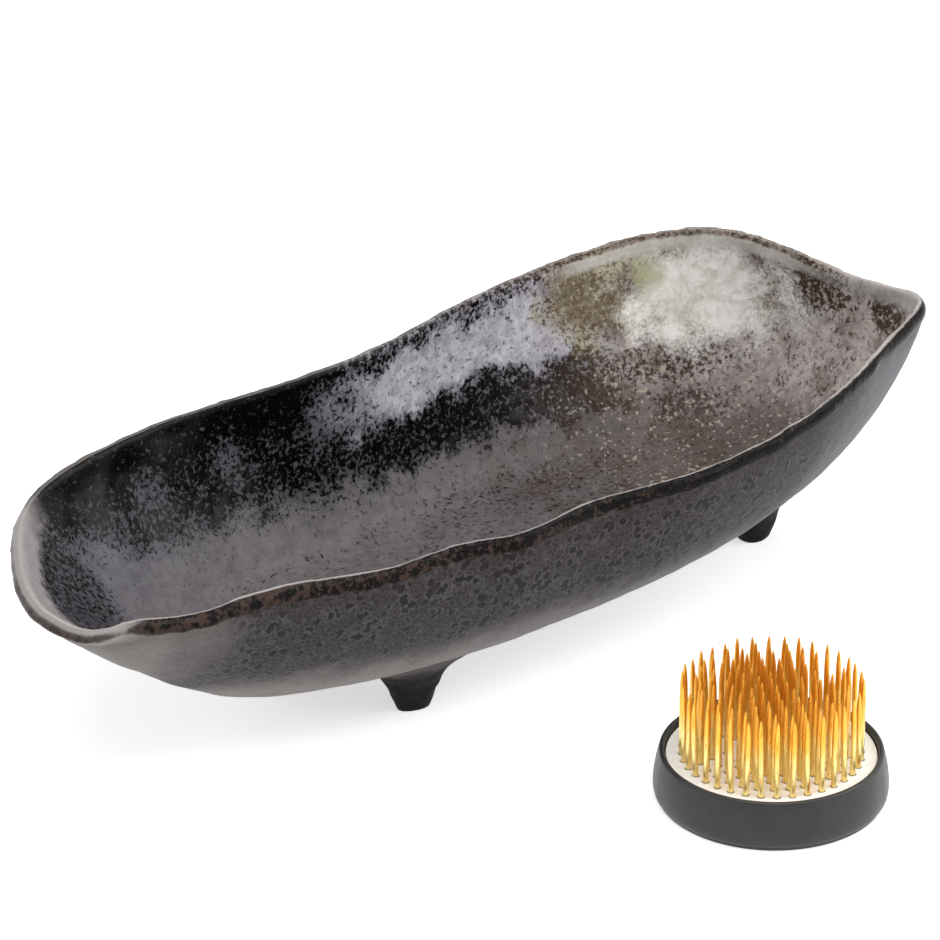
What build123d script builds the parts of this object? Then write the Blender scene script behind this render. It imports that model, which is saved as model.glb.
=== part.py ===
from build123d import *
import math
import os

# Ikebana suiban: a long hand-shaped stoneware bowl on three feet, with its
# kenzan, a round flower holder of brass needles, standing in front of it.
# Millimetres, +Z up. The bowl is drawn about its own centre: +X runs along its
# length to the pinched right tip and +Y to its back. At the end the whole set is
# moved so that the origin is under the middle of the set, on the table.

# Outline of the bowl seen from above
BOWL_LENGTH = 303.0
BOWL_WIDTH = 118.0
RIM_HEIGHT = 81.0
OVAL_POWER = 2.6
# Stations along the crest of the rim, counter-clockwise from the right end. Each
# has its place along and across the bowl, as shares of half the crest's length and
# width, and its height as a share of the rim height.
RIM_SHARES = (
    (0.985, -0.32, 0.925),
    (0.945, 0.13, 0.945),
    (0.885, 0.49, 0.990),
    (0.825, 0.65, 1.000),
    (0.700, 0.87, 0.965),
    (0.520, 0.98, 0.925),
    (0.330, 0.96, 0.915),
    (0.150, 0.90, 0.900),
    (-0.070, 0.86, 0.900),
    (-0.335, 0.98, 0.875),
    (-0.560, 0.95, 0.875),
    (-0.725, 0.87, 0.850),
    (-0.910, 0.40, 0.815),
    (-0.975, 0.05, 0.805),
    (-0.980, -0.21, 0.800),
    (-0.957, -0.33, 0.800),
    (-0.902, -0.355, 0.800),
    (-0.780, -0.51, 0.800),
    (-0.710, -0.53, 0.805),
    (-0.545, -0.61, 0.800),
    (-0.405, -0.74, 0.795),
    (-0.245, -0.79, 0.800),
    (-0.165, -0.86, 0.795),
    (0.030, -0.86, 0.800),
    (0.145, -0.92, 0.800),
    (0.420, -0.98, 0.820),
    (0.600, -0.94, 0.860),
    (0.890, -0.70, 0.930),
    (0.970, -0.60, 0.935),
    (1.000, -0.46, 0.925),
)

# Underside and floor of the bowl. The underside keeps these distances from the ends
# and sides of the bowl, and its middle lies a little to the back. The floor inside is
# wider at the sides and shorter at the right end.
BASE_HEIGHT = 16.0
BASE_INSET_LEFT = 65.5
BASE_INSET_RIGHT = 40.5
BASE_INSET_SIDE = 28.8
BASE_POWER = 2.0
BASE_SHIFT = 3.5
BASE_REACH_LEFT = BOWL_LENGTH / 2 - BASE_INSET_LEFT
BASE_REACH_RIGHT = BOWL_LENGTH / 2 - BASE_INSET_RIGHT
BASE_HALF_WIDTH = BOWL_WIDTH / 2 - BASE_INSET_SIDE
FLOOR_THICKNESS = 6.0
FLOOR_SPREAD = 1.5
FLOOR_CUTBACK = 3.0
FLOOR_REACH_LEFT = BASE_REACH_LEFT
FLOOR_REACH_RIGHT = BASE_REACH_RIGHT - FLOOR_CUTBACK
FLOOR_HALF_WIDTH = BASE_HALF_WIDTH + FLOOR_SPREAD

# The section of the wall is a quarter oval: the power makes it full or slack, and
# it is slacker at the left end and fuller at the right end.
WALL_POWER = 1.45
WALL_POWER_SWING = 0.36
# The inside of the wall is a little slacker than the outside
INNER_POWER_DROP = 0.08
WALL_STEPS = 12
# Share of the rim's waves that still shows at the bottom of the wall, and the power
# with which they fade on the way down
WAVE_SHARE = 0.1
WAVE_FADE = 1.6
LIP_THICKNESS = 3.4
LIP_SWELL = 2.2
# Across the rounded lip: place from the crest inward, as a share of the lip's
# thickness, and drop below the crest, as a share of its least thickness
LIP_SHARES = ((-0.5, 0.5), (-0.22, 0.0), (0.22, 0.0), (0.5, 0.5))
CREST_LENGTH = BOWL_LENGTH - LIP_THICKNESS
CREST_WIDTH = BOWL_WIDTH - LIP_THICKNESS

# Feet: places along and across, as shares of the underside's reach on that side and
# of its half width, then their length along the bowl and width at the table
FOOT_SHARES = {
    "foot_front": (-0.353, -0.62),
    "foot_right": (0.994, -0.24),
    "foot_back": (-0.58, 0.68),
}
FOOT_LENGTH = 13.0
FOOT_WIDTH = 10.0
FOOT_SIDES = 20
FOOT_BLANK_HEIGHT = 48.0
# Spread of a foot at each share of its blank's height
FOOT_SPREAD_SHARES = ((0.0, 1.0), (0.06, 1.1), (0.125, 1.3), (0.25, 1.6), (1.0, 1.7))

# Kenzan: its place to the right of the bowl's middle and the space left in front of
# the bowl, then the rubber ring, the cast base and the needles
KENZAN_OFFSET = 10.0
KENZAN_SPACE = 26.0
RING_DIAMETER = 64.0
RING_HEIGHT = 14.5
RING_WALL = 3.0
RING_BORE = RING_DIAMETER - 2 * RING_WALL
RING_BEVEL_WIDTH = 1.2
RING_BEVEL_HEIGHT = 1.8
RING_LEDGE_HEIGHT = 1.6
RING_LEDGE_WIDTH = 3.0
FIT_CLEARANCE = 0.3
PLATE_RECESS = 1.5
PLATE_EDGE = 0.6
NEEDLE_DIAMETER = 1.4
NEEDLE_HEIGHT = 23.0
NEEDLE_SHAFT_SHARE = 0.65
NEEDLE_SIDES = 5
NEEDLE_MARGIN = 4.0
NEEDLE_FIELD = RING_BORE - 2 * NEEDLE_MARGIN
NEEDLE_RINGS = 6
NEEDLES_PER_STEP = 6


def oval_point(reach, half_width, power, angle):
    """Point of a full oval at an angle, seen from above."""
    along = math.cos(angle)
    across = math.sin(angle)
    x = math.copysign(reach * abs(along) ** (2 / power), along)
    y = math.copysign(half_width * abs(across) ** (2 / power), across)
    return x, y


def oval_angle(x_share, y_share, power):
    """Angle at which the ray through a point leaves the unit oval."""
    along = math.copysign(abs(x_share) ** (power / 2), x_share)
    across = math.copysign(abs(y_share) ** (power / 2), y_share)
    return math.atan2(across, along)


def oval_inward(angle):
    """Unit direction square to the crest's oval, pointing inward."""
    x_share, y_share = oval_point(1, 1, OVAL_POWER, angle)
    slope_x = math.copysign(abs(x_share) ** (OVAL_POWER - 1) / CREST_LENGTH, x_share)
    slope_y = math.copysign(abs(y_share) ** (OVAL_POWER - 1) / CREST_WIDTH, y_share)
    size = math.hypot(slope_x, slope_y)
    return -slope_x / size, -slope_y / size


def quarter_oval(level, power):
    """Inset and drop shares of the wall's section, from the lip (0) to the bottom (1)."""
    turn = level * math.pi / 2
    inset_share = 1 - math.cos(turn) ** (2 / power)
    drop_share = math.sin(turn) ** (2 / power)
    return inset_share, drop_share


class Station:
    """One place round the rim, with the sections of the wall below it."""

    def __init__(self, x_share, y_share, height_share):
        self.angle = oval_angle(x_share, y_share, OVAL_POWER)
        self.crest_x = x_share * CREST_LENGTH / 2
        self.crest_y = y_share * CREST_WIDTH / 2
        self.crest_z = height_share * RIM_HEIGHT
        self.oval_x, self.oval_y = oval_point(CREST_LENGTH / 2, CREST_WIDTH / 2, OVAL_POWER, self.angle)
        self.in_x, self.in_y = oval_inward(self.angle)
        self.lip = LIP_THICKNESS + LIP_SWELL * max(0.0, -math.cos(self.angle)) ** 2
        self.power = WALL_POWER + WALL_POWER_SWING * math.cos(self.angle)

    def lip_point(self, inward_share, drop_share):
        x = self.crest_x + self.in_x * self.lip * inward_share
        y = self.crest_y + self.in_y * self.lip * inward_share
        return Vector(x, y, self.crest_z - LIP_THICKNESS * drop_share)

    def wall_point(self, level, lip_shares, foot, power):
        """Point of a wall between an edge of the lip and the oval at the wall's foot."""
        inset_share, drop_share = quarter_oval(level, power)
        wave_share = WAVE_SHARE + (1 - WAVE_SHARE) * (1 - drop_share) ** WAVE_FADE
        inward_share, lip_drop_share = lip_shares
        top_x = self.oval_x + self.in_x * self.lip * inward_share
        top_y = self.oval_y + self.in_y * self.lip * inward_share
        top_z = self.crest_z - LIP_THICKNESS * lip_drop_share
        x = top_x + (foot.X - top_x) * inset_share + (self.crest_x - self.oval_x) * wave_share
        y = top_y + (foot.Y - top_y) * inset_share + (self.crest_y - self.oval_y) * wave_share
        return Vector(x, y, top_z + (foot.Z - top_z) * drop_share)

    def outer_point(self, level):
        reach = BASE_REACH_RIGHT if math.cos(self.angle) > 0 else BASE_REACH_LEFT
        x, y = oval_point(reach, BASE_HALF_WIDTH, BASE_POWER, self.angle)
        foot = Vector(x, y + BASE_SHIFT, BASE_HEIGHT)
        return self.wall_point(level, LIP_SHARES[0], foot, self.power)

    def inner_point(self, level):
        reach = FLOOR_REACH_RIGHT if math.cos(self.angle) > 0 else FLOOR_REACH_LEFT
        x, y = oval_point(reach, FLOOR_HALF_WIDTH, BASE_POWER, self.angle)
        foot = Vector(x, y + BASE_SHIFT, BASE_HEIGHT + FLOOR_THICKNESS)
        return self.wall_point(level, LIP_SHARES[-1], foot, self.power - INNER_POWER_DROP)


def ring_marks(points):
    """Spline parameters shared by every ring: the lengths run along the rim."""
    marks = [0.0]
    for start, end in zip(points, points[1:] + points[:1]):
        marks.append(marks[-1] + (end - start).length)
    return marks


def ring_wire(points, marks):
    return Wire([Edge.make_spline(points, periodic=True, parameters=marks)])


def make_bowl():
    """The bowl's skin in narrow strips: up the outside, over the lip and down the inside."""
    stations = [Station(*shares) for shares in RIM_SHARES]
    marks = ring_marks([station.lip_point(*LIP_SHARES[0]) for station in stations])
    levels = [step / WALL_STEPS for step in range(WALL_STEPS, 0, -1)]
    rings = [[station.outer_point(level) for station in stations] for level in levels]
    rings += [[station.lip_point(*shares) for station in stations] for shares in LIP_SHARES]
    rings += [[station.inner_point(level) for station in stations] for level in reversed(levels)]
    return Solid.make_loft([ring_wire(points, marks) for points in rings], ruled=True)


def flat_face(corners):
    return Face(Wire.make_polygon(corners, close=True))


def foot_section(height_share, spread):
    """Corners of the oval across a foot's blank at one height."""
    turns = [2 * math.pi * side / FOOT_SIDES for side in range(FOOT_SIDES)]
    along = spread * FOOT_LENGTH / 2
    across = spread * FOOT_WIDTH / 2
    height = height_share * FOOT_BLANK_HEIGHT
    return [Vector(along * math.cos(turn), across * math.sin(turn), height) for turn in turns]


def foot_band(lower, upper):
    """Knife-cut flats round a foot between two of its sections."""
    nexts = [(side + 1) % FOOT_SIDES for side in range(FOOT_SIDES)]
    return [flat_face([lower[a], lower[b], upper[b], upper[a]]) for a, b in enumerate(nexts)]


def make_foot(along_share, across_share, bowl):
    """An oval stub that flares upward and ends on the underside of the bowl."""
    reach = BASE_REACH_RIGHT if along_share > 0 else BASE_REACH_LEFT
    x = along_share * reach
    y = BASE_SHIFT + across_share * BASE_HALF_WIDTH
    sections = [foot_section(*shares) for shares in FOOT_SPREAD_SHARES]
    flats = [flat_face(sections[0]), flat_face(sections[-1])]
    for lower, upper in zip(sections, sections[1:]):
        flats += foot_band(lower, upper)
    blank = Solid(Shell(flats))
    return (Pos(x, y) * blank - bowl).solids().sort_by(Axis.Z)[0]


def make_ring():
    """Rubber ring with a bevelled top edge and a ledge under the cast base."""
    outside = RING_DIAMETER / 2
    bore = RING_BORE / 2
    ledge = bore - RING_LEDGE_WIDTH
    profile = Polyline(
        (outside, 0),
        (outside, RING_HEIGHT - RING_BEVEL_HEIGHT),
        (outside - RING_BEVEL_WIDTH, RING_HEIGHT),
        (bore, RING_HEIGHT),
        (bore, RING_LEDGE_HEIGHT),
        (ledge, RING_LEDGE_HEIGHT),
        (ledge, 0),
        close=True,
    )
    return revolve(make_face(Plane.XZ * profile), Axis.Z)


def needle_places(ring_number):
    """Places in one ring of needles: six more in each ring than in the one inside it."""
    if ring_number == 0:
        return [(0, 0)]
    pitch = (NEEDLE_FIELD - NEEDLE_DIAMETER) / 2 / NEEDLE_RINGS
    count = NEEDLES_PER_STEP * ring_number
    radius = pitch * ring_number
    turns = [2 * math.pi * index / count for index in range(count)]
    return [(radius * math.cos(turn), radius * math.sin(turn)) for turn in turns]


def make_needle():
    """A brass needle: a straight shaft that stands on the base, and a long point."""
    plate_top = RING_HEIGHT - PLATE_RECESS
    shaft_length = NEEDLE_HEIGHT * NEEDLE_SHAFT_SHARE
    section = RegularPolygon(NEEDLE_DIAMETER / 2, NEEDLE_SIDES)
    shaft = extrude(section, shaft_length)
    shoulder = (Pos(0, 0, shaft_length) * section).wire()
    point = Solid.make_loft([shoulder, Vertex(0, 0, NEEDLE_HEIGHT)], ruled=True)
    return Pos(0, 0, plate_top) * (shaft + point)


def make_needle_ring(needle, ring_number):
    return Compound(children=[Pos(x, y) * needle for x, y in needle_places(ring_number)])


def make_plate():
    """Cast metal base that stands on the ring's ledge and carries the needles."""
    radius = RING_BORE / 2 - FIT_CLEARANCE
    height = RING_HEIGHT - PLATE_RECESS - RING_LEDGE_HEIGHT
    blank = extrude(Pos(0, 0, RING_LEDGE_HEIGHT) * Circle(radius), height)
    return chamfer(blank.edges().filter_by(GeomType.CIRCLE).sort_by(Axis.Z)[-1], PLATE_EDGE)


def make_set():
    """Every piece of the set by name, about the bowl's own centre."""
    bowl = make_bowl()
    pieces = {"bowl": bowl}
    for name, shares in FOOT_SHARES.items():
        pieces[name] = make_foot(*shares, bowl)
    needle = make_needle()
    rings = [make_needle_ring(needle, number) for number in range(NEEDLE_RINGS + 1)]
    stand = Pos(KENZAN_OFFSET, -(BOWL_WIDTH / 2 + KENZAN_SPACE + RING_DIAMETER / 2))
    pieces["kenzan_ring"] = stand * make_ring()
    pieces["kenzan_base"] = stand * make_plate()
    for number, ring in enumerate(rings):
        name = f"needle_ring_{number}" if number else "needle_centre"
        pieces[name] = stand * ring
    return pieces


def main():
    pieces = make_set()
    box = Compound([solid for piece in pieces.values() for solid in piece.solids()]).bounding_box()
    middle = box.center()
    origin = Pos(-middle.X, -middle.Y, -box.min.Z)
    os.makedirs("parts", exist_ok=True)
    for name, piece in pieces.items():
        export_step(origin * piece, f"parts/{name}.step")


if __name__ == "__main__":
    main()
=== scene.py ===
import bpy
import bmesh
import math
import numpy as np
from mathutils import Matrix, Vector
from mathutils.bvhtree import BVHTree


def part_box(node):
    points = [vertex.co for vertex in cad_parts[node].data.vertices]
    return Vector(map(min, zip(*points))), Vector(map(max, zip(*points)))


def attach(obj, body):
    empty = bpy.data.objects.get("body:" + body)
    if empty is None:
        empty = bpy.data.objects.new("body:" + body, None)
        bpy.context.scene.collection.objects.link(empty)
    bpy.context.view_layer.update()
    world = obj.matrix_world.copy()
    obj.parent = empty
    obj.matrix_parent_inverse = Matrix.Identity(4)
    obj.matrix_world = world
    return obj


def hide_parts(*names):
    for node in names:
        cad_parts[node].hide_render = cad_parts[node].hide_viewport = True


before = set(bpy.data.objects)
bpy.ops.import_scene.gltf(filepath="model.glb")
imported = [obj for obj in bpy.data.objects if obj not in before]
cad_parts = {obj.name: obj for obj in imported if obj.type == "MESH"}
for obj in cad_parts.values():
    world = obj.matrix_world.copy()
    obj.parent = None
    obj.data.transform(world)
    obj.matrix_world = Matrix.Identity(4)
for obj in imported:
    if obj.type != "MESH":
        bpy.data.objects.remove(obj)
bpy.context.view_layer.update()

# Ikebana suiban, a long hand-shaped stoneware bowl on three feet, with its kenzan.
# Metres, in the frame of the CAD model: +X along the bowl, +Y to its back, +Z up.
MM = 0.001

# Camera: where it looks on the table, and from where
VIEW_TARGET = Vector((0.07494, 0.12788, 0.0))
VIEW_AZIMUTH = math.radians(-41)
VIEW_ELEVATION = math.radians(27)
VIEW_DISTANCE = 1.9345
VIEW_LENS = 248.9
SENSOR_WIDTH = 36.0

FOOT_NODES = ("foot_front", "foot_right", "foot_back")
NEEDLE_NODES = ("needle_centre",) + tuple(f"needle_ring_{number}" for number in range(1, 7))


# Places of the object, read from the frame

BOWL_LOW, BOWL_HIGH = [Vector(corner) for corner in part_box("bowl")]
BOWL_MIDDLE = (BOWL_LOW + BOWL_HIGH) / 2
BOWL_HALF = (BOWL_HIGH - BOWL_LOW) / 2
RING_LOW, RING_HIGH = [Vector(corner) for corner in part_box("kenzan_ring")]
PLATE_LOW, PLATE_HIGH = [Vector(corner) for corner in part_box("kenzan_base")]
PLATE_RADIUS = (PLATE_HIGH.x - PLATE_LOW.x) / 2
KENZAN_MIDDLE = (RING_LOW + RING_HIGH) / 2


# Mesh helpers

def new_piece(name, mesh, material):
    piece = bpy.data.objects.new(name, mesh)
    bpy.context.scene.collection.objects.link(piece)
    mesh.materials.clear()
    mesh.materials.append(material)
    mesh.polygons.foreach_set("use_smooth", [True] * len(mesh.polygons))
    return piece


def read_points(mesh):
    points = np.empty(len(mesh.vertices) * 3)
    mesh.vertices.foreach_get("co", points)
    return points.reshape(-1, 3)


def write_points(mesh, points):
    mesh.vertices.foreach_set("co", points.ravel())
    mesh.update()


def read_normals(mesh):
    normals = np.empty(len(mesh.vertices) * 3)
    mesh.vertex_normals.foreach_get("vector", normals)
    return normals.reshape(-1, 3)


def store(mesh, name, values):
    """Keeps one number per point, for the material to read."""
    layer = mesh.attributes.new(name, "FLOAT", "POINT")
    layer.data.foreach_set("value", values.astype(np.float32))


def finished_mesh(build, name):
    mesh = bpy.data.meshes.new(name)
    build.to_mesh(mesh)
    build.free()
    return mesh


def circle(build, x, y, radius, height, turns):
    """Level ring of points about an upright axis."""
    ring = []
    for turn in range(turns):
        angle = 2 * math.pi * turn / turns
        ring.append(build.verts.new((x + radius * math.cos(angle), y + radius * math.sin(angle), height)))
    return ring


def bridge(build, lower, upper):
    """Faces between two rings with the same number of points."""
    turns = len(lower)
    for turn in range(turns):
        after = (turn + 1) % turns
        build.faces.new((lower[turn], lower[after], upper[after], upper[turn]))


def remeshed(node, name, voxel):
    """A fine even mesh of a CAD node's shape, as a mesh of its own."""
    blank = bpy.data.objects.new(name + "_blank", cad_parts[node].data.copy())
    bpy.context.scene.collection.objects.link(blank)
    modifier = blank.modifiers.new("remesh", "REMESH")
    modifier.mode = "VOXEL"
    modifier.voxel_size = voxel
    graph = bpy.context.evaluated_depsgraph_get()
    mesh = bpy.data.meshes.new_from_object(blank.evaluated_get(graph))
    bpy.data.objects.remove(blank)
    mesh.name = name
    return mesh


def edge_pairs(mesh):
    pairs = np.empty(len(mesh.edges) * 2, dtype=np.int64)
    mesh.edges.foreach_get("vertices", pairs)
    return pairs.reshape(-1, 2)


def smoothed(points, pairs, weights, rounds):
    """Moves each point towards its neighbours' middle, more where its weight is larger."""
    count = len(points)
    degree = np.bincount(pairs.ravel(), minlength=count).astype(float)
    for _ in range(rounds):
        total = np.empty_like(points)
        for axis in range(3):
            ahead = np.bincount(pairs[:, 0], weights=points[pairs[:, 1], axis], minlength=count)
            behind = np.bincount(pairs[:, 1], weights=points[pairs[:, 0], axis], minlength=count)
            total[:, axis] = (ahead + behind) / degree
        points = points + (total - points) * (0.5 * weights)[:, None]
    return points


def step_up(values, low, high):
    """Smooth step from 0 at low to 1 at high."""
    share = np.clip((values - low) / (high - low), 0, 1)
    return share * share * (3 - 2 * share)


# Sine waves in one relief, and the lowest and highest frequency as a share of the main one
WAVE_COUNT = 28
WAVE_SPREAD = (0.6, 1.6)


def waves(points, seed, size):
    """Soft random relief between about -1 and 1, with bumps of about this size."""
    chance = np.random.default_rng(seed)
    total = np.zeros(len(points))
    for _ in range(WAVE_COUNT):
        direction = chance.normal(size=3)
        direction /= np.linalg.norm(direction)
        frequency = 2 * math.pi / size * chance.uniform(*WAVE_SPREAD)
        total += np.sin(points @ direction * frequency + chance.uniform(0, 2 * math.pi))
    return total / math.sqrt(WAVE_COUNT)


# Bowl skin: size of the remesh, rounds of smoothing on the walls and on the lip
SKIN_VOXEL = 0.8 * MM
WALL_ROUNDS = 90
LIP_ROUNDS = 5
LIP_DEPTH = 7 * MM
# How far the lip's outer half drops, and over what width
LIP_LEAN = 0.7 * MM
LIP_LEAN_WIDTH = 2.0 * MM
# Directions round the rim, and how deep below its highest points the crest's line is read
CREST_BINS = 360
CREST_DEPTH = 0.7 * MM
# Share of the bowl's half length in which the walls run straight along it
STRAIGHT_SHARE = 0.6
# Relief of the skin: seed of the waves, their size and their depth
FOLDS = (5, 23 * MM, 0.7 * MM)
HOLLOWS = (11, 34 * MM, 0.3 * MM)
TOOL_MARKS = (13, 5 * MM, 0.05 * MM)
SOFT_WAVES = (23, 9 * MM, 0.06 * MM)
OUTER_WAVES = (31, 26 * MM, 0.18 * MM)
LIP_WAVES = (47, 13 * MM, 0.15 * MM)
# The folds run up the wall, so they are stretched upwards
FOLD_SCALE = np.array([1, 1, 0.35])
# Kept between the skin and the box of the CAD bowl
SKIN_MARGIN = 0.05 * MM


def around(points):
    """Share of a turn of each point about the bowl's middle, with the oval taken as a circle."""
    y = (points[:, 1] - BOWL_MIDDLE.y) / BOWL_HALF.y
    x = (points[:, 0] - BOWL_MIDDLE.x) / BOWL_HALF.x
    return (np.arctan2(y, x) / (2 * math.pi)) % 1


def crest_bins(points):
    return (around(points) * CREST_BINS).astype(int) % CREST_BINS


def crest_heights(points):
    """Height of the rim's crest in each direction, smoothed a little along the rim."""
    heights = np.zeros(CREST_BINS)
    np.maximum.at(heights, crest_bins(points), points[:, 2])
    kernel = np.array([1, 2, 3, 2, 1]) / 9
    return np.convolve(np.concatenate([heights[-2:], heights, heights[:2]]), kernel, mode="valid")


def drop_below_crest(points, heights):
    place = around(points) * CREST_BINS - 0.5
    low = np.floor(place).astype(int)
    share = place - low
    crest = heights[low % CREST_BINS] * (1 - share) + heights[(low + 1) % CREST_BINS] * share
    return np.maximum(crest - points[:, 2], 0)


def across_crest(points, drop):
    """Distance of each point outward from the middle line of the crest, seen from above."""
    bins = crest_bins(points)
    on_top = drop < CREST_DEPTH
    count = np.bincount(bins[on_top], minlength=CREST_BINS)
    filled = np.flatnonzero(count)
    line = np.empty((CREST_BINS, 2))
    for axis in range(2):
        total = np.bincount(bins[on_top], weights=points[on_top, axis], minlength=CREST_BINS)
        middle = total[filled] / count[filled]
        line[:, axis] = np.interp(np.arange(CREST_BINS), filled, middle, period=CREST_BINS)
    for _ in range(3):
        line = (np.roll(line, 1, axis=0) + 2 * line + np.roll(line, -1, axis=0)) / 4
    along = np.roll(line, -2, axis=0) - np.roll(line, 2, axis=0)
    along /= np.linalg.norm(along, axis=1)[:, None]
    outward = np.stack([along[:, 1], -along[:, 0]], axis=1)
    return ((points[:, :2] - line[bins]) * outward[bins]).sum(axis=1)


def outwardness(points, normals):
    """Above 0 on the outside of the wall and under the bowl, below 0 inside."""
    away = points[:, :2] - np.array(BOWL_MIDDLE[:2])
    past_straight = np.maximum(np.abs(away[:, 0]) - BOWL_HALF.x * STRAIGHT_SHARE, 0)
    away[:, 0] = np.sign(away[:, 0]) * past_straight + away[:, 0] * 0.05
    away /= np.maximum(np.linalg.norm(away, axis=1), 1e-9)[:, None]
    return (normals[:, :2] * away).sum(axis=1) - normals[:, 2]


def skin_relief(points, inside, drop, near_lip):
    """Depth of the hand-pressed hollows, tool marks and soft waves at each point."""
    def relief(kind, scale=1):
        seed, size, depth = kind
        return waves(points * scale, seed, size) * depth

    x, y, height = points.T
    # The folds are strongest on the steep wall at the back left
    back_left = step_up(-x, -30 * MM, 50 * MM) * step_up(y, 55 * MM, 85 * MM) * step_up(drop, 1 * MM, 9 * MM)
    total = inside * back_left * relief(FOLDS, FOLD_SCALE)
    total += inside * relief(HOLLOWS) * step_up(drop, 1 * MM, 8 * MM)
    total += inside * relief(TOOL_MARKS) * step_up(drop, 2 * MM, 8 * MM)
    total += relief(SOFT_WAVES)
    total += (1 - inside) * relief(OUTER_WAVES) * step_up(height, 18 * MM, 30 * MM)
    total += near_lip * relief(LIP_WAVES)
    return total


def make_bowl_skin(material):
    """The bowl with its facets melted away, hand-pressed hollows and an uneven lip."""
    mesh = remeshed("bowl", "bowl_skin", SKIN_VOXEL)
    points = read_points(mesh)
    pairs = edge_pairs(mesh)
    drop = drop_below_crest(points, crest_heights(points))
    on_wall = step_up(drop, LIP_DEPTH * 0.4, LIP_DEPTH)
    points = smoothed(points, pairs, np.ones(len(points)), LIP_ROUNDS)
    points = smoothed(points, pairs, on_wall, WALL_ROUNDS)
    write_points(mesh, points)
    normals = read_normals(mesh)
    inside = step_up(-outwardness(points, normals), -0.25, 0.25)
    drop = drop_below_crest(points, crest_heights(points))
    across = across_crest(points, drop)
    near_lip = step_up(-drop, -6 * MM, -2 * MM)
    points[:, 2] -= near_lip * step_up(across, 0.0, LIP_LEAN_WIDTH) * LIP_LEAN
    points = points + normals * skin_relief(points, inside, drop, near_lip)[:, None]
    points = np.clip(points, np.array(BOWL_LOW) + SKIN_MARGIN, np.array(BOWL_HIGH) - SKIN_MARGIN)
    write_points(mesh, points)
    store(mesh, "inside", inside)
    store(mesh, "drop", drop / MM)
    store(mesh, "across", across / MM)
    piece = new_piece("bowl_skin", mesh, material)
    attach(piece, "suiban")
    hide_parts("bowl")
    return piece


# Feet: stubs of clay whose tops spread out on the underside of the bowl

FOOT_TURNS = 56
FOOT_STEPS = 22
# The steps lie closer near the bowl by this power
FOOT_CROWDING = 1.55
# Spread at the table as a share of the CAD foot's, and what the taper and the flare add at the bowl
FOOT_START = 0.84
FOOT_TAPER = 1.05
FOOT_TAPER_POWER = 1.15
FOOT_FLARE = 1.0
FOOT_FLARE_POWER = 6
FOOT_UNEVENNESS = 0.03
FOOT_LEAN = 0.5 * MM
# How far a foot runs into the bowl's wall
FOOT_OVERLAP = 0.15 * MM
# Rounding of the edge on the table, over one part in this many of the steps
FOOT_TUCK = 0.35 * MM
FOOT_TUCK_PARTS = 9
FOOT_WAVE_SIZE = 6 * MM
FOOT_WAVE_DEPTH = 0.16 * MM
FIRST_FOOT_SEED = 101


def underside(tree, x, y):
    """Height of the bowl's underside above a place on the table."""
    hit = tree.ray_cast(Vector((x, y, -0.01)), Vector((0, 0, 1)))[0]
    return hit.z if hit else BOWL_LOW.z


def make_foot_stub(node, skin_tree, seed, material):
    low, high = [Vector(corner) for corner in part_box(node)]
    middle = (low + high) / 2
    flat = np.array([point for point in read_points(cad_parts[node].data) if point[2] < 0.5 * MM])
    half = (flat.max(axis=0) - flat.min(axis=0)) / 2
    chance = np.random.default_rng(seed)
    wobble = chance.normal(size=4) * FOOT_UNEVENNESS
    lean = chance.normal(size=2) * FOOT_LEAN
    build = bmesh.new()
    rings = []
    for step in range(FOOT_STEPS + 1):
        share = step / FOOT_STEPS
        rise = 1 - (1 - share) ** FOOT_CROWDING
        spread = FOOT_START + FOOT_TAPER * rise ** FOOT_TAPER_POWER + FOOT_FLARE * rise ** FOOT_FLARE_POWER
        tuck = FOOT_TUCK * (1 - min(share * FOOT_TUCK_PARTS, 1)) ** 2
        ring = []
        for turn in range(FOOT_TURNS):
            angle = 2 * math.pi * turn / FOOT_TURNS
            uneven = 1 + wobble[0] * math.cos(2 * angle + 1) + wobble[1] * math.cos(3 * angle) * (1 - share)
            x = middle.x + half[0] * spread * uneven * math.cos(angle) + lean.item(0) * share
            y = middle.y + half[1] * spread * uneven * math.sin(angle) + lean.item(1) * share
            top = underside(skin_tree, x, y) + FOOT_OVERLAP
            ring.append(build.verts.new((x - tuck * math.cos(angle), y - tuck * math.sin(angle), top * rise)))
        rings.append(ring)
    for lower, upper in zip(rings, rings[1:]):
        bridge(build, lower, upper)
    build.faces.new(list(reversed(rings[0])))
    build.faces.new(rings[-1])
    mesh = finished_mesh(build, node + "_stub")
    points = read_points(mesh)
    free = step_up(points[:, 2], 0.2 * MM, 3 * MM)
    relief = waves(points, seed, FOOT_WAVE_SIZE) * FOOT_WAVE_DEPTH * free
    points = points + read_normals(mesh) * relief[:, None]
    write_points(mesh, points)
    store(mesh, "rise", points[:, 2] / BOWL_LOW.z)
    piece = new_piece(node + "_stub", mesh, material)
    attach(piece, "suiban")
    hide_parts(node)


# Kenzan: rubber ring, cast plate and brass needles

RING_TURNS = 160
RING_CLEARANCE = 0.3 * MM
LEDGE_WIDTH = 3 * MM
# Up the outside of the rubber ring: share of its height, and inset as a share of its wall
RING_SHARES = (
    (0.0, 0.55), (0.02, 0.42), (0.06, 0.38), (0.085, 0.36), (0.1, 0.2), (0.14, 0.1), (0.2, 0.04),
    (0.28, 0.0), (0.38, 0.01), (0.48, 0.05), (0.58, 0.11), (0.68, 0.19), (0.77, 0.28), (0.85, 0.37),
    (0.91, 0.44), (0.955, 0.49), (0.982, 0.55), (0.996, 0.64), (1.0, 0.74), (0.996, 0.88))

PLATE_TURNS = 300
PLATE_RINGS = 66
PLATE_EDGE = 0.7 * MM
PLATE_EDGE_STEPS = 6
PLATE_BEVEL = 0.3 * MM
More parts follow.
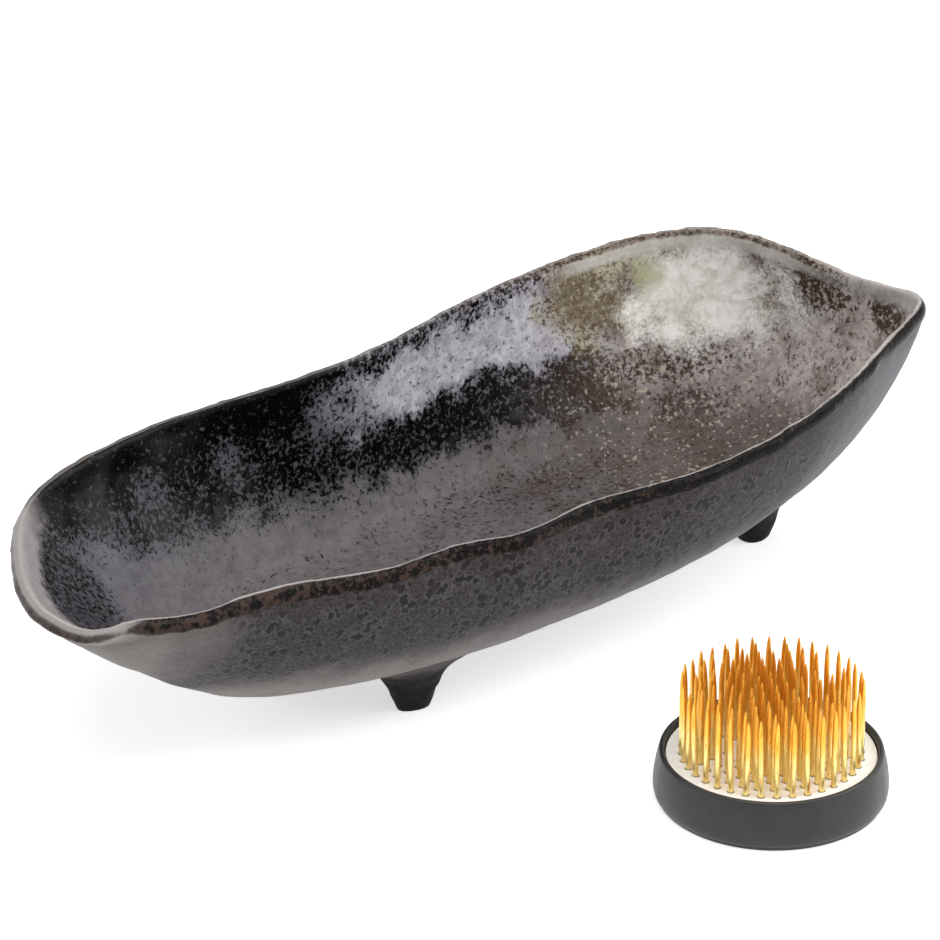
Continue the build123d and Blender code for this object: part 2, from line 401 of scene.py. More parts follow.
# Collar of metal round each needle: its height, and where it starts and ends from the needle's middle
COLLAR_HEIGHT = 0.28 * MM
COLLAR_START = 0.7 * MM
COLLAR_END = 1.9 * MM
PLATE_WAVE_SEED = 71
PLATE_WAVE_SIZE = 4 * MM
PLATE_WAVE_DEPTH = 0.05 * MM

NEEDLE_TURNS = 12
NEEDLE_LENGTH = 23.0 * MM
NEEDLE_RADIUS = 0.8 * MM
NEEDLE_SINK = 0.4 * MM
NEEDLE_SEED = 17
# Spread of the needles' lean and bow, with the most that each may be, and of their shortness
NEEDLE_LEAN, NEEDLE_LEAN_LIMIT = 0.33, 0.7
NEEDLE_BOW, NEEDLE_BOW_LIMIT = 0.12, 0.25
NEEDLE_SHORTNESS = 0.012
# Along a needle: share of its length, and its radius as a share of the shaft's
NEEDLE_SHARES = ((0.0, 1.1), (0.03, 1.0), (0.35, 1.0), (0.7, 0.98), (0.8, 0.9), (0.88, 0.74),
                 (0.94, 0.52), (0.975, 0.32), (0.993, 0.16))


def make_rubber_ring(material):
    """Ring with a full round belly, a soft top edge and an inner ledge."""
    outside = (RING_HIGH.x - RING_LOW.x) / 2
    top = RING_HIGH.z
    bore = PLATE_RADIUS + RING_CLEARANCE
    ledge = bore - LEDGE_WIDTH
    ledge_top = PLATE_LOW.z
    profile = [(ledge, 0.0), (ledge + 0.4 * MM, 0.0)]
    for share, inset in RING_SHARES:
        profile.append((outside - inset * (outside - bore), top * share))
    profile += [(bore, top * 0.97), (bore, top * 0.7), (bore, ledge_top + 0.2 * MM)]
    profile += [(bore - 0.2 * MM, ledge_top), (ledge, ledge_top)]
    build = bmesh.new()
    rings = [circle(build, KENZAN_MIDDLE.x, KENZAN_MIDDLE.y, radius, height, RING_TURNS)
             for radius, height in profile]
    for lower, upper in zip(rings, rings[1:] + rings[:1]):
        bridge(build, lower, upper)
    bmesh.ops.recalc_face_normals(build, faces=build.faces)
    piece = new_piece("rubber_ring_dressed", finished_mesh(build, "rubber_ring"), material)
    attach(piece, "rubber_ring")
    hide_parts("kenzan_ring")


def needle_spots():
    """Place of every needle, found as the tips of the CAD needles."""
    spots = []
    for node in NEEDLE_NODES:
        points = read_points(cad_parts[node].data)
        tips = points[points[:, 2] > PLATE_HIGH.z + NEEDLE_LENGTH - 0.2 * MM]
        spots += [(round(tip.item(0), 5), round(tip.item(1), 5)) for tip in tips]
    return sorted(set(spots))


def make_plate(spots, material):
    """Cast plate with a rounded edge and a low collar of metal round each needle."""
    top = PLATE_HIGH.z
    flat = PLATE_RADIUS - PLATE_EDGE
    rings = [(flat * step / PLATE_RINGS, top) for step in range(1, PLATE_RINGS + 1)]
    for step in range(1, PLATE_EDGE_STEPS + 1):
        angle = math.pi / 2 * step / PLATE_EDGE_STEPS
        rings.append((flat + PLATE_EDGE * math.sin(angle), top - PLATE_EDGE * (1 - math.cos(angle))))
    rings += [(PLATE_RADIUS, PLATE_LOW.z + PLATE_BEVEL), (PLATE_RADIUS - PLATE_BEVEL, PLATE_LOW.z)]
    build = bmesh.new()
    centre = build.verts.new((KENZAN_MIDDLE.x, KENZAN_MIDDLE.y, top))
    loops = [circle(build, KENZAN_MIDDLE.x, KENZAN_MIDDLE.y, radius, height, PLATE_TURNS)
             for radius, height in rings]
    for turn in range(PLATE_TURNS):
        build.faces.new((centre, loops[0][turn], loops[0][(turn + 1) % PLATE_TURNS]))
    for inner, outer in zip(loops, loops[1:]):
        bridge(build, inner, outer)
    build.faces.new(list(reversed(loops[-1])))
    bmesh.ops.recalc_face_normals(build, faces=build.faces)
    mesh = finished_mesh(build, "kenzan_plate")
    points = read_points(mesh)
    on_top = points[:, 2] > top - 0.05 * MM
    nearest = np.full(len(points), 100 * MM)
    for x, y in spots:
        nearest = np.minimum(nearest, np.hypot(points[:, 0] - x, points[:, 1] - y))
    dip = COLLAR_HEIGHT * step_up(nearest, COLLAR_START, COLLAR_END)
    dip += PLATE_WAVE_DEPTH * (1 + waves(points, PLATE_WAVE_SEED, PLATE_WAVE_SIZE) * 0.5)
    points[:, 2] -= np.where(on_top, dip, 0)
    write_points(mesh, points)
    store(mesh, "near", nearest / MM)
    piece = new_piece("kenzan_plate", mesh, material)
    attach(piece, "flower_holder")
    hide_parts("kenzan_base")


def make_needles(spots, material):
    """Drawn brass needles, each a little bent, with a ground point."""
    chance = np.random.default_rng(NEEDLE_SEED)
    build = bmesh.new()
    base = PLATE_HIGH.z - NEEDLE_SINK
    length = NEEDLE_LENGTH + NEEDLE_SINK
    for x, y in spots:
        lean = np.clip(chance.normal(size=2) * NEEDLE_LEAN, -NEEDLE_LEAN_LIMIT, NEEDLE_LEAN_LIMIT) * MM
        bow = np.clip(chance.normal(size=2) * NEEDLE_BOW, -NEEDLE_BOW_LIMIT, NEEDLE_BOW_LIMIT) * MM
        short = 1 - abs(chance.normal()) * NEEDLE_SHORTNESS
        loops = []
        for share, size in NEEDLE_SHARES:
            middle_x = x + lean.item(0) * share + bow.item(0) * math.sin(math.pi * share)
            middle_y = y + lean.item(1) * share + bow.item(1) * math.sin(math.pi * share)
            height = base + length * share * short
            loops.append(circle(build, middle_x, middle_y, NEEDLE_RADIUS * size, height, NEEDLE_TURNS))
        tip = build.verts.new((x + lean.item(0), y + lean.item(1), base + length * short))
        for lower, upper in zip(loops, loops[1:]):
            bridge(build, lower, upper)
        for turn in range(NEEDLE_TURNS):
            build.faces.new((loops[-1][turn], loops[-1][(turn + 1) % NEEDLE_TURNS], tip))
        build.faces.new(list(reversed(loops[0])))
    piece = new_piece("brass_needles", finished_mesh(build, "brass_needles"), material)
    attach(piece, "flower_holder")
    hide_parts(*NEEDLE_NODES)


# Materials. A helper adds nodes: a value that is a socket is linked, any other is set.

WHITE = (1, 1, 1, 1)


def srgb(red, green, blue):
    """Colour from 0 to 255 values, as a linear colour with alpha."""
    def linear(value):
        share = value / 255
        return share / 12.92 if share <= 0.04045 else ((share + 0.055) / 1.055) ** 2.4
    return (linear(red), linear(green), linear(blue), 1.0)


class Shader:
    """Node tree of one material, with short calls for the nodes used here."""

    def __init__(self, name):
        self.material = bpy.data.materials.new(name)
        self.material.use_nodes = True
        self.tree = self.material.node_tree
        self.tree.nodes.clear()
        self.place = self.add("ShaderNodeTexCoord", {}).outputs["Object"]

    def add(self, kind, values, **settings):
        node = self.tree.nodes.new(kind)
        for name, value in settings.items():
            setattr(node, name, value)
        for key, value in values.items():
            socket = node.inputs[key]
            if isinstance(value, bpy.types.NodeSocket):
                self.tree.links.new(value, socket)
            else:
                socket.default_value = value
        return node

    def noise(self, size, detail=3.0, roughness=0.55, distortion=0.0, place=None):
        values = {"Vector": place or self.place, "Scale": 1 / size, "Detail": detail,
                  "Roughness": roughness, "Distortion": distortion}
        return self.add("ShaderNodeTexNoise", values).outputs["Fac"]

    def drift(self, size, detail=3.0, roughness=0.55):
        """Noise about 0."""
        return self.less(self.noise(size, detail, roughness), 0.5)

    def cells(self, size, place, feature="F1"):
        values = {"Vector": place, "Scale": 1 / size}
        return self.add("ShaderNodeTexVoronoi", values, feature=feature).outputs

    def math(self, operation, first, second=0.0):
        return self.add("ShaderNodeMath", {0: first, 1: second}, operation=operation).outputs[0]

    def times(self, first, second):
        return self.math("MULTIPLY", first, second)

    def plus(self, first, second):
        return self.math("ADD", first, second)

    def less(self, first, second):
        return self.math("SUBTRACT", first, second)

    def larger(self, first, second):
        return self.math("MAXIMUM", first, second)

    def vector(self, operation, values):
        return self.add("ShaderNodeVectorMath", values, operation=operation).outputs

    def mix(self, share, first, second):
        return self.add("ShaderNodeMix", {0: share, 2: first, 3: second}).outputs[0]

    def blend(self, share, first, second):
        values = {0: share, 6: first, 7: second}
        return self.add("ShaderNodeMix", values, data_type="RGBA").outputs[2]

    def steps(self, value, low, high, start=0.0, end=1.0):
        """Smooth step: start below low, end above high."""
        values = {"Value": value, "From Min": low, "From Max": high, "To Min": start, "To Max": end}
        return self.add("ShaderNodeMapRange", values, interpolation_type="SMOOTHSTEP").outputs["Result"]

    def falls(self, value, low, high):
        """Smooth step from 1 below low to 0 above high."""
        return self.steps(value, low, high, 1.0, 0.0)

    def stored(self, name):
        return self.add("ShaderNodeAttribute", {}, attribute_name=name).outputs["Fac"]

    def stretched(self, x, y, z):
        values = {"Vector": self.place, "Scale": (x, y, z)}
        return self.add("ShaderNodeMapping", values).outputs["Vector"]

    def axis(self, name):
        return self.add("ShaderNodeSeparateXYZ", {"Vector": self.place}).outputs[name]

    def spot(self, centre, reach, low, edge, high=1.0):
        """1 near a place on the object and 0 away from it; place and reach on each axis in mm."""
        centre = tuple(value * MM for value in centre)
        reach = tuple(value * MM for value in reach)
        offset = self.vector("SUBTRACT", {0: self.place, 1: centre})[0]
        scaled = self.vector("DIVIDE", {0: offset, 1: reach})[0]
        distance = self.vector("LENGTH", {0: scaled})["Value"]
        return self.falls(self.plus(distance, edge), low, high)

    def bump(self, height, distance, strength):
        values = {"Height": height, "Distance": distance, "Strength": strength}
        return self.add("ShaderNodeBump", values).outputs["Normal"]

    def surface(self, values):
        shader = self.add("ShaderNodeBsdfPrincipled", values)
        self.add("ShaderNodeOutputMaterial", {"Surface": shader.outputs[0]})
        return self.material


# Glaze. Distances below and across the crest are in mm, and so are the tables of places.

# Outside: cells, net lines, blots with pale rims, and the plain glaze low down and at the ends, made paler
# there by painted reflection and bounce light from the pale table and room
CELL_DARK, CELL_PALE = srgb(46, 43, 44), srgb(64, 60, 62)
NET_LINE = srgb(92, 89, 93)
BLOT_RIM, BLOT_DARK = srgb(100, 97, 101), srgb(28, 25, 25)
PLAIN_AND_SHEEN_LEFT, PLAIN_AND_SHEEN_RIGHT, PLAIN_AND_SHEEN_GRAIN = srgb(156, 150, 147), srgb(134, 132, 138), srgb(142, 137, 137)
NET_SIZE = 1.5 * MM
BLOT_SIZE = 2.9 * MM
WARP_SIZE, WARP_REACH = 1.4 * MM, 1.5 * MM
# Rim: band, its rust, the stain below it, the speckle at the back, the painted highlight on the lip's top at
# the ends and the thin painted highlight along the crest
BAND_BLACK, BAND_RUST, BAND_STAIN = srgb(7, 5, 5), srgb(64, 49, 43), srgb(52, 44, 38)
SPECKLE_PALE, SPECKLE_DARK = srgb(128, 114, 100), srgb(62, 48, 40)
LIP_HIGHLIGHT, CREST_HIGHLIGHT = srgb(164, 158, 157), srgb(186, 178, 172)
# Inside: light and deep colours of the mottling, a pale lavender glaze with a painted sheen on the far wall,
# and what lies over them
FLOOR_GREY, WALL_GREY, LAVENDER_AND_SHEEN = srgb(112, 108, 109), srgb(108, 105, 111), srgb(204, 201, 211)
RIGHT_PALE, RIGHT_FLOOR = srgb(196, 187, 183), srgb(104, 94, 89)
DEEP_BLACK, DEEP_BROWN = srgb(5, 4, 4), srgb(70, 56, 46)
SHADED, CLOUDED = srgb(58, 55, 61), srgb(74, 70, 76)
BROWN_PATCH, SANDY = srgb(84, 66, 54), srgb(186, 174, 158)
OLIVE_PALE, OLIVE_DEEP, BURNT_DEEP = srgb(190, 182, 158), srgb(104, 90, 68), srgb(64, 50, 42)
# Ash at the back right
ASH_WHITE, ASH_CREAM, ASH_SHADE = srgb(249, 247, 242), srgb(234, 230, 220), srgb(188, 182, 164)
ASH_GREEN, SHOULDER = srgb(168, 168, 124), srgb(216, 212, 204)

# Folds of the far wall that catch the light: place, and reach along the bowl, in mm
FOLD_HIGHLIGHTS = (((-72, 96, 56), 11), ((-41, 97, 55), 9), ((-11, 93, 58), 13))
# Darker zones inside: place and reach in mm, where the edge starts, how far it wanders, how dark
# the zone is, and its own light and deep colours where it has them
DARK_ZONES = (
    ((92, 94, 64), (22, 30, 17), 0.45, 1.5, 0.5, OLIVE_PALE, OLIVE_DEEP),
    ((108, 82, 43), (30, 34, 6), 0.4, 1.5, 0.55, None, None),
    ((141, 49, 68), (10, 15, 10), 0.45, 1.5, 0.72, None, None),
    ((146, 24, 68), (10, 10, 9), 0.4, 1.2, 0.8, None, None),
    ((112, 70, 31), (24, 13, 7), 0.3, 1.6, 0.6, None, BURNT_DEEP),
    ((62, 74, 22), (34, 9, 9), 0.3, 1.6, 0.42, None, BURNT_DEEP))


class GlazeFields:
    """Places, distances and noises that the zones of the glaze share."""

    def __init__(self, s):
        self.inside = s.steps(s.stored("inside"), 0.35, 0.65)
        self.drop = s.stored("drop")
        self.across = s.stored("across")
        self.x = s.axis("X")
        self.y = s.axis("Y")
        self.z = s.axis("Z")
        self.broad = s.drift(45 * MM)
        self.patch = s.drift(11 * MM, 4.0, 0.6)
        self.dab = s.noise(1.3 * MM, 2.5, 0.6, 0.5)
        self.grain = s.drift(0.8 * MM, 2.0, 0.6)
        self.cloud = s.noise(3.2 * MM, 4.0, 0.7)
        self.wobble = s.times(s.drift(4 * MM), 3.2)
        self.shifted_x = s.plus(self.x, s.times(self.broad, 60 * MM))
        self.band_drop = s.plus(self.drop, self.wobble)
        self.behind = s.steps(self.y, 35 * MM, 60 * MM)
        self.rise = s.plus(self.z, s.times(self.patch, 24 * MM))
        self.climb = s.steps(self.rise, 25 * MM, 47 * MM)


def outer_glaze(s, f):
    """Dark cells in a net of thin light lines with darker blots; its colour and its net."""
    push = s.add("ShaderNodeTexNoise", {"Vector": s.place, "Scale": 1 / WARP_SIZE, "Detail": 2.5})
    push = s.vector("SCALE", {0: push.outputs["Color"], 3: WARP_REACH})[0]
    warped = s.vector("ADD", {0: s.place, 1: push})[0]
    fine_net = s.falls(s.cells(NET_SIZE, warped, "DISTANCE_TO_EDGE")["Distance"], 0.03, 0.16)
    spots = s.cells(BLOT_SIZE, warped)
    chosen = s.steps(s.plus(spots["Color"], s.times(s.plus(f.patch, f.broad), 1.3)), 0.36, 0.52)
    size = s.plus(spots["Distance"], s.times(s.less(f.dab, 0.5), 0.8))
    blot = s.times(chosen, s.falls(size, 0.36, 0.48))
    halo = s.times(chosen, s.less(s.steps(size, 0.4, 0.5), s.steps(size, 0.54, 0.68)))
    colour = s.blend(s.steps(f.grain, -0.1, 0.16), CELL_DARK, CELL_PALE)
    colour = s.blend(s.times(fine_net, 0.5), colour, NET_LINE)
    colour = s.blend(s.times(halo, 0.5), colour, BLOT_RIM)
    colour = s.blend(s.times(blot, 0.75), colour, BLOT_DARK)
    # Plain glaze low down and at the ends, made paler by painted reflection and bounce light from the pale
    # table and room
    plain_and_sheen = s.blend(s.steps(f.x, -60 * MM, 70 * MM), PLAIN_AND_SHEEN_LEFT, PLAIN_AND_SHEEN_RIGHT)
    plain_and_sheen = s.blend(s.steps(f.grain, 0.0, 0.2), plain_and_sheen, PLAIN_AND_SHEEN_GRAIN)
    low = s.falls(s.plus(f.z, s.times(f.patch, 16 * MM)), 20 * MM, 38 * MM)
    ends = s.larger(s.falls(f.shifted_x, -128 * MM, -98 * MM), s.steps(f.shifted_x, 72 * MM, 128 * MM))
    colour = s.blend(s.times(s.larger(low, s.times(ends, 0.8)), 0.85), colour, plain_and_sheen)
    stain = s.steps(s.plus(f.drop, s.times(f.wobble, 2.0)), 3.0, 11.0, 0.35, 0.0)
    return s.blend(stain, colour, BAND_STAIN), s.larger(halo, s.times(fine_net, 0.6))


def darkness(s, f, middle, right):
    """How dark each part of the inside is, before its darker zones."""
    far = s.steps(s.plus(f.y, s.times(f.patch, 16 * MM)), 78 * MM, 92 * MM)
    far = s.times(far, s.steps(f.rise, 54 * MM, 66 * MM, 0.8, 1.0))
    near = s.times(s.falls(f.y, 0.0, 18 * MM), 0.62)
    left_place = s.plus(f.x, s.times(f.patch, 22 * MM))
    left_wall = s.times(s.times(s.falls(left_place, -112 * MM, -98 * MM), f.climb), 0.6)
    dark = s.larger(s.times(f.climb, s.larger(far, near)), left_wall)
    # Painted highlight: the mottling is made lighter where the folds catch the light
    for centre, reach in FOLD_HIGHLIGHTS:
        fold_highlight = s.spot(centre, (reach, 30, 14), 0.2, s.times(f.patch, 1.2))
        dark = s.less(dark, s.times(fold_highlight, 0.4))
    shelf = s.less(s.steps(f.rise, 31 * MM, 38 * MM), s.steps(f.rise, 45 * MM, 53 * MM))
    top = s.falls(s.plus(f.drop, s.times(f.patch, 20.0)), 2.0, 9.0)
    dark = s.mix(middle, dark, s.plus(s.plus(s.times(shelf, 0.66), s.times(top, 0.5)), 0.14))
    dark = s.mix(right, dark, s.plus(0.24, s.times(f.patch, 1.1)))
    floor_dark = s.plus(s.steps(f.x, -40 * MM, 70 * MM, 0.1, 0.26), s.times(f.patch, 0.9))
    return s.mix(s.steps(f.z, 24 * MM, 27 * MM), floor_dark, dark)


def inner_glaze(s, f):
    """Mottling of a light and a deep colour, under sandy specks; its colour and the deep share."""
    middle = s.times(s.steps(f.shifted_x, -14 * MM, 16 * MM), f.behind)
    right = s.steps(f.shifted_x, 78 * MM, 108 * MM)
    dark = darkness(s, f, middle, right)
    light = s.blend(f.climb, FLOOR_GREY, WALL_GREY)
    # Painted sheen: the reflection of a lamp on the far wall, painted as a pale lavender zone of the glaze
    light = s.blend(s.times(middle, s.steps(f.rise, 44 * MM, 54 * MM)), light, LAVENDER_AND_SHEEN)
    light = s.blend(right, light, RIGHT_PALE)
    low_right = s.times(s.steps(f.shifted_x, 20 * MM, 110 * MM), s.less(1.0, f.climb))
    light = s.blend(low_right, light, RIGHT_FLOOR)
    deep = s.blend(s.steps(f.shifted_x, 50 * MM, 100 * MM), DEEP_BLACK, DEEP_BROWN)
    for centre, reach, low, wander, amount, own_light, own_deep in DARK_ZONES:
        zone = s.spot(centre, reach, low, s.times(f.patch, wander))
        dark = s.mix(zone, dark, amount)
        if own_light:
            light = s.blend(zone, light, own_light)
        if own_deep:
            deep = s.blend(zone, deep, own_deep)
    shade = s.times(s.steps(dark, 0.1, 0.6), s.steps(f.shifted_x, 40 * MM, 90 * MM, 0.55, 0.0))
    light = s.blend(shade, light, SHADED)
    light = s.blend(s.steps(f.cloud, 0.36, 0.64, 0.0, 0.4), light, CLOUDED)
    brown = s.times(s.steps(s.plus(f.broad, f.patch), -0.02, 0.2), s.steps(f.shifted_x, 30 * MM, 80 * MM))
    light = s.blend(s.times(brown, 0.6), light, BROWN_PATCH)
    edge = s.less(0.7, s.times(dark, 0.38))
    share = s.steps(s.plus(f.dab, s.times(f.grain, 0.16)), s.less(edge, 0.11), s.plus(edge, 0.11))
    colour = s.blend(share, light, deep)
    sandy = s.times(s.steps(s.noise(1.5 * MM, 1.0), 0.63, 0.7), s.steps(f.shifted_x, 45 * MM, 95 * MM))
    return s.blend(s.times(sandy, 0.75), colour, SANDY), share


def with_ash(s, f, colour):
    """Cream and grey ash, greenish on its left, and the pale shoulder above it."""
    wander = s.plus(s.times(f.patch, 1.3), s.times(f.grain, 0.5))
    ash = s.spot((120, 80, 62), (27, 40, 19), 0.5, wander, 1.05)
    ash_colour = s.blend(s.steps(s.plus(f.broad, f.patch), -0.12, 0.14), ASH_WHITE, ASH_CREAM)
    shade = s.steps(s.plus(f.cloud, s.times(f.patch, 0.4)), 0.44, 0.62, 0.0, 0.4)
    ash_colour = s.blend(shade, ash_colour, ASH_SHADE)
    green = s.spot((106, 91, 69), (10, 20, 9), 0.3, s.times(f.patch, 1.5))
    ash_colour = s.blend(s.times(green, 0.85), ash_colour, ASH_GREEN)
    colour = s.blend(s.times(ash, s.steps(f.dab, 0.42, 0.6, 1.0, 0.88)), colour, ash_colour)
    shoulder = s.times(s.steps(s.plus(f.drop, s.times(f.patch, 3.0)), 1.4, 2.4), s.falls(f.drop, 4.2, 6.5))
    shoulder = s.times(s.times(shoulder, f.behind), s.steps(f.shifted_x, 84 * MM, 98 * MM))
    return s.blend(s.times(shoulder, 0.7), colour, SHOULDER)


def with_lip(s, f, colour):
    """Painted highlight on the lip's top at the ends, speckle at the back right, glossy band outside and thin
    painted highlight along the crest; colour and band.
    """
    end_place = s.less(f.x, s.times(s.less(f.y, 26 * MM), 0.25))
    left_end = s.falls(s.plus(end_place, s.times(f.patch, 10 * MM)), -138 * MM, -126 * MM)
    outward = s.steps(s.less(f.across, s.times(left_end, 1.1)), 0.0, 0.6)
    band = s.times(s.falls(f.band_drop, 2.9, 3.9), outward)
    band = s.times(band, s.mix(left_end, 1.0, s.steps(f.band_drop, 2.0, 2.8, 0.8, 0.0)))
    rust_field = s.less(s.noise(2.3 * MM, 3.0, 0.7), s.steps(f.shifted_x, -110 * MM, 60 * MM, -0.05, 0.09))
    speckle = s.blend(s.steps(f.dab, 0.44, 0.56), SPECKLE_PALE, SPECKLE_DARK)
    back_lip = s.times(f.behind, s.falls(f.band_drop, 1.1, 2.2))
    back_lip = s.times(back_lip, s.steps(f.shifted_x, 40 * MM, 90 * MM, 0.0, 0.85))
    colour = s.blend(back_lip, colour, speckle)
    # Painted highlight: the lip's top at both ends is made pale where it catches the light
    pale = s.larger(left_end, s.steps(f.x, 140 * MM, 146 * MM))
    reach = s.times(s.falls(f.band_drop, 3.5, 6.5), s.falls(s.less(f.across, left_end), 0.6, 1.3))
    colour = s.blend(s.times(s.times(pale, reach), 0.85), colour, LIP_HIGHLIGHT)
    colour = s.blend(band, colour, s.blend(s.steps(rust_field, 0.48, 0.6), BAND_BLACK, BAND_RUST))
    # Painted highlight: a thin pale line along the crest, fainter at the back
    line_place = s.math("ABSOLUTE", s.plus(f.across, 0.35))
    line = s.times(s.falls(line_place, 0.3, 0.6), s.falls(f.drop, 0.9, 1.6))
    line = s.times(line, s.steps(s.noise(7 * MM), 0.3, 0.5, 0.55, 1.0))
    return s.blend(s.times(line, s.mix(f.behind, 0.8, 0.3)), colour, CREST_HIGHLIGHT), band


def glaze_material():
    """Stoneware: dark netted glaze outside, mottled satin glaze inside, ash at the back right."""
    s = Shader("bowl_glaze")
    f = GlazeFields(s)
    outer, net = outer_glaze(s, f)
    inner, share = inner_glaze(s, f)
    inner = with_ash(s, f, inner)
    colour, band = with_lip(s, f, s.blend(f.inside, outer, inner))
    rough_outside = s.mix(band, s.steps(f.grain, -0.15, 0.15, 0.5, 0.6), 0.22)
    rough = s.mix(f.inside, rough_outside, s.mix(share, 0.4, 0.26))
    relief_outside = s.plus(s.times(net, 0.5), f.grain)
    relief_inside = s.plus(s.times(f.dab, 0.8), s.times(f.patch, 1.5))
    normal = s.bump(s.mix(f.inside, relief_outside, relief_inside), 0.14 * MM, 0.7)
    return s.surface({"Base Color": colour, "Roughness": rough, "Normal": normal, "IOR": 1.5,
                      "Specular IOR Level": 0.1})


def clay_material():
    """Bare dark clay of the feet: matt and grainy, with a little glaze run down from the bowl."""
    s = Shader("foot_clay")
    grain = s.noise(1.1 * MM, 4.0, 0.7)
    patch = s.noise(7 * MM, 4.0, 0.6)
    colour = s.blend(s.steps(patch, 0.35, 0.65), srgb(15, 14, 13), srgb(31, 28, 26))
    colour = s.blend(s.steps(grain, 0.6, 0.72), colour, srgb(56, 52, 49))
    glazed = s.steps(s.plus(s.stored("rise"), s.times(patch, 0.3)), 0.95, 1.3)
    colour = s.blend(glazed, colour, srgb(96, 91, 90))
    normal = s.bump(s.plus(grain, patch), 0.2 * MM, 0.6)
    return s.surface({"Base Color": colour, "Roughness": s.steps(grain, 0.3, 0.7, 0.62, 0.82),
                      "Normal": normal, "Specular IOR Level": 0.14})


def rubber_material():
    """Matt black rubber with faint dust and a fine moulded grain."""
    s = Shader("ring_rubber")
    grain = s.noise(0.5 * MM, 3.0, 0.6)
    dust = s.noise(9 * MM, 5.0, 0.65)
    colour = s.blend(s.steps(dust, 0.35, 0.7), srgb(26, 25, 26), srgb(42, 41, 42))
    normal = s.bump(s.plus(grain, s.times(dust, 0.4)), 0.06 * MM, 0.5)
    return s.surface({"Base Color": colour, "Roughness": s.steps(dust, 0.3, 0.7, 0.34, 0.48),
                      "Normal": normal})


def plate_material():
    """Pale cast metal, slightly cloudy, with painted shade round the foot of each needle."""
    s = Shader("base_metal")
    cloud = s.noise(5 * MM, 4.0, 0.6)
    grain = s.noise(0.6 * MM, 3.0, 0.7)
    colour = s.blend(s.steps(cloud, 0.35, 0.65), srgb(254, 254, 254), srgb(246, 246, 247))
    # Painted shade: dark round the foot of each needle, where the needles shade the plate
    needle_shade = s.steps(s.plus(s.stored("near"), s.times(grain, 0.5)), 1.15, 1.5, 0.85, 0.0)
    colour = s.blend(needle_shade, colour, srgb(58, 44, 34))
    normal = s.bump(s.plus(cloud, s.times(grain, 0.3)), 0.08 * MM, 0.5)
    return s.surface({"Base Color": colour, "Metallic": 0.0, "Normal": normal,
                      "Roughness": s.steps(cloud, 0.3, 0.7, 0.38, 0.5)})


def brass_material():
    """Drawn brass: pale yellow low down, deeper gold towards the points."""
    s = Shader("needle_brass")
    cloud = s.drift(6 * MM, 3.0, 0.6)
    streak = s.noise(0.5 * MM, 2.0, 0.6, 0.0, s.stretched(1.0, 1.0, 0.08))
    level = s.plus(s.axis("Z"), s.times(cloud, 10 * MM))
    colour = s.blend(s.steps(level, 19 * MM, 29 * MM), srgb(252, 228, 150), srgb(246, 188, 76))
    colour = s.blend(s.steps(streak, 0.55, 0.75), colour, srgb(214, 142, 42))
    normal = s.bump(streak, 0.03 * MM, 0.4)
    return s.surface({"Base Color": colour, "Metallic": 0.85, "Normal": normal,
                      "Roughness": s.steps(streak, 0.3, 0.7, 0.26, 0.38)})


# Stage: pale table that keeps the shadow, soft studio lamps and a white room

FLOOR_REACH = 12.0
FLOOR_GLOW = 0.6
ROOM_LIGHT = 0.45
# Lamps: name, azimuth from the camera's, elevation, distance, width, depth and power
LAMPS = (("over_lamp", 10, 68, 1.6, 1.5, 1.1, 15.0),
         ("right_lamp", 86, 32, 1.8, 1.2, 0.9, 12.0),
         ("left_lamp", -110, 30, 1.9, 1.3, 1.2, 7.0))


def floor_material():
    """Pale matt table, lifted to white for the camera, reflections and transmission only."""
    s = Shader("pale_floor")
    rays = s.add("ShaderNodeLightPath", {}).outputs
    seen = s.larger(s.larger(rays["Is Camera Ray"], rays["Is Glossy Ray"]), rays["Is Transmission Ray"])
    tint = s.blend(s.noise(0.4), srgb(236, 236, 236), srgb(240, 240, 239))
    matt = s.add("ShaderNodeBsdfDiffuse", {"Color": tint})
    glow = s.add("ShaderNodeEmission", {"Color": WHITE, "Strength": s.times(seen, FLOOR_GLOW)})
    both = s.add("ShaderNodeAddShader", {0: matt.outputs[0], 1: glow.outputs[0]})
    s.add("ShaderNodeOutputMaterial", {"Surface": both.outputs[0]})
    return s.material


def make_floor():
    build = bmesh.new()
    bmesh.ops.create_grid(build, x_segments=8, y_segments=8, size=FLOOR_REACH)
    floor = new_piece("table_top", finished_mesh(build, "table_top"), floor_material())


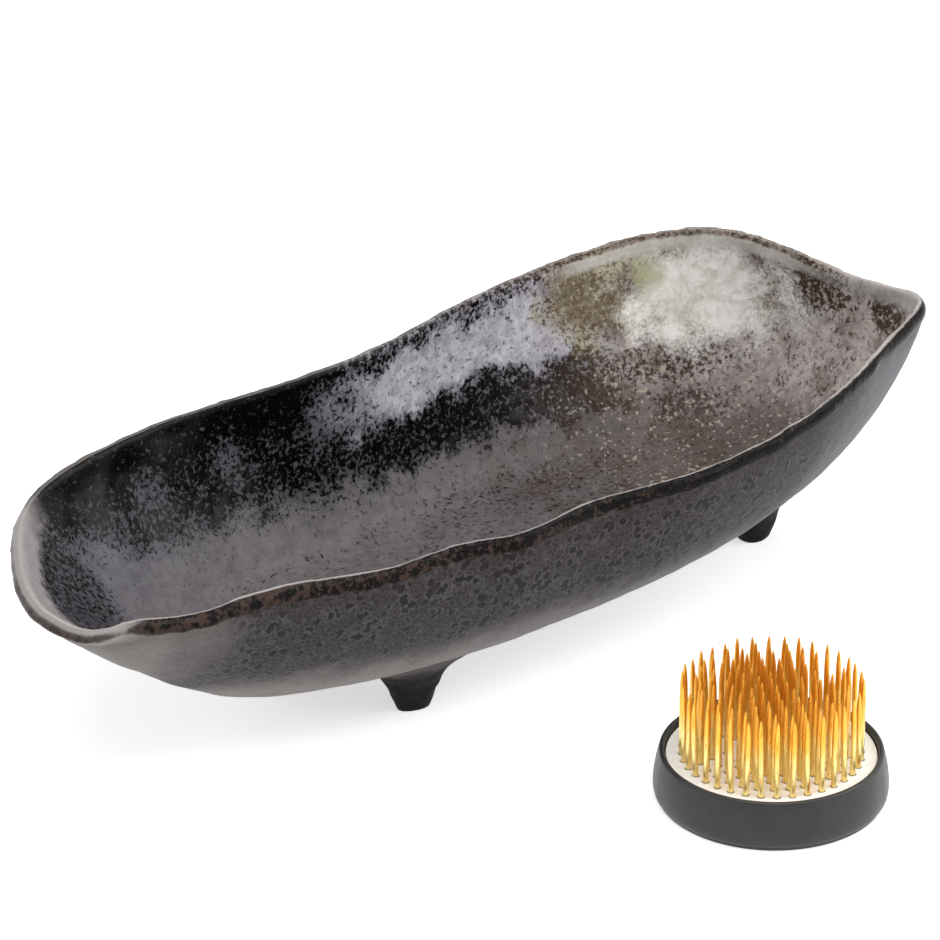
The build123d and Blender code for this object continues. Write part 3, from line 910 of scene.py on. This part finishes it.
def make_room():
    """White for the camera, reflections and transmission, and a soft light for the rest."""
    world = bpy.data.worlds.new("room")
    world.use_nodes = True
    tree = world.node_tree
    tree.nodes.clear()
    rays = tree.nodes.new("ShaderNodeLightPath")
    seen = rays.outputs["Is Camera Ray"]
    for ray in ("Is Glossy Ray", "Is Transmission Ray"):
        either = tree.nodes.new("ShaderNodeMath")
        either.operation = "MAXIMUM"
        tree.links.new(seen, either.inputs[0])
        tree.links.new(rays.outputs[ray], either.inputs[1])
        seen = either.outputs[0]
    mix = tree.nodes.new("ShaderNodeMixShader")
    tree.links.new(seen, mix.inputs[0])
    for place, strength in ((1, ROOM_LIGHT), (2, 1.0)):
        light = tree.nodes.new("ShaderNodeBackground")
        light.inputs["Color"].default_value = WHITE
        light.inputs["Strength"].default_value = strength
        tree.links.new(light.outputs[0], mix.inputs[place])
    output = tree.nodes.new("ShaderNodeOutputWorld")
    tree.links.new(mix.outputs[0], output.inputs["Surface"])
    bpy.context.scene.world = world


def view_direction(azimuth, elevation):
    """From the object towards a viewer at that azimuth and elevation."""
    level = math.cos(elevation)
    return Vector((math.sin(azimuth) * level, -math.cos(azimuth) * level, math.sin(elevation)))


def make_lamps():
    """Soft rectangular lamps that face the bowl."""
    for name, azimuth, elevation, distance, width, depth, power in LAMPS:
        direction = view_direction(VIEW_AZIMUTH + math.radians(azimuth), math.radians(elevation))
        place = BOWL_MIDDLE + direction * distance
        data = bpy.data.lights.new(name, "AREA")
        data.shape = "RECTANGLE"
        data.size = width
        data.size_y = depth
        data.energy = power
        lamp = bpy.data.objects.new(name, data)
        lamp.location = place
        lamp.rotation_euler = (BOWL_MIDDLE - place).to_track_quat("-Z", "Y").to_euler()
        bpy.context.scene.collection.objects.link(lamp)


def make_camera():
    data = bpy.data.cameras.new("photo_view")
    data.lens = VIEW_LENS
    data.sensor_width = SENSOR_WIDTH
    data.clip_start = 0.05
    camera = bpy.data.objects.new("photo_view", data)
    back = view_direction(VIEW_AZIMUTH, VIEW_ELEVATION)
    camera.location = VIEW_TARGET + back * VIEW_DISTANCE
    camera.rotation_euler = back.to_track_quat("Z", "Y").to_euler()
    bpy.context.scene.collection.objects.link(camera)
    bpy.context.scene.camera = camera


def build_scene():
    skin = make_bowl_skin(glaze_material())
    skin_tree = BVHTree.FromObject(skin, bpy.context.evaluated_depsgraph_get())
    clay = clay_material()
    for number, node in enumerate(FOOT_NODES):
        make_foot_stub(node, skin_tree, FIRST_FOOT_SEED + number, clay)
    make_rubber_ring(rubber_material())
    spots = needle_spots()
    make_plate(spots, plate_material())
    make_needles(spots, brass_material())
    make_floor()
    make_room()
    make_lamps()
    make_camera()
    bpy.context.scene.view_settings.view_transform = "Standard"


build_scene()
